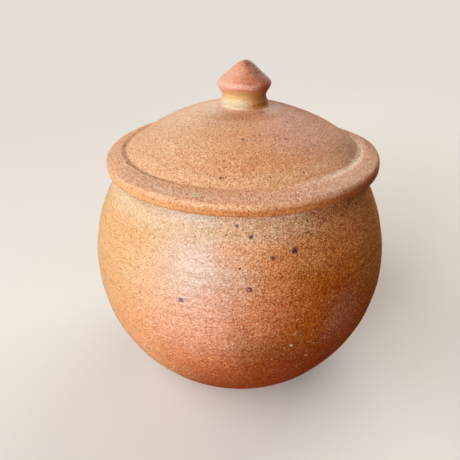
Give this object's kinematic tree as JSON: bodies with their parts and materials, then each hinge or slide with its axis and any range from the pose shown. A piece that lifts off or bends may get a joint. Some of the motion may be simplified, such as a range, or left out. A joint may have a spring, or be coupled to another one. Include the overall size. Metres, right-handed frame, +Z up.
{
  "type": "sugar jar",
  "caption": "Round-bellied stoneware sugar jar with a domed lift-off lid, an overhanging brim and a pointed knob.",
  "frame": {"origin": "centre of the foot, on the surface that the jar stands on", "axes": "+Z up along the axis that the jar was thrown about; -Y towards the viewer of the picture; +X to the viewer's right"},
  "size_m": [0.106, 0.106, 0.1121],
  "materials": {
    "body_stoneware": "unglazed, flame-flashed, fine orange-peel grain with dark iron specks, satin where the flame has fluxed it",
    "lid_stoneware": "unglazed, flame-flashed, fine grain with dark iron specks, matt",
    "knob_stoneware": "unglazed and satin, with a pool of cream ash glaze round its neck and a scorched side"
  },
  "bodies": {
    "jar": {"jar_body": "body_stoneware"},
    "lid": {"lid": "lid_stoneware", "lid_knob": "knob_stoneware"}
  },
  "joints": [
    {"name": "lid_lift", "type": "slide", "parent": "jar", "child": "lid", "axis": [0, 0, 1], "range_m": [0, 0.08]}
  ]
}
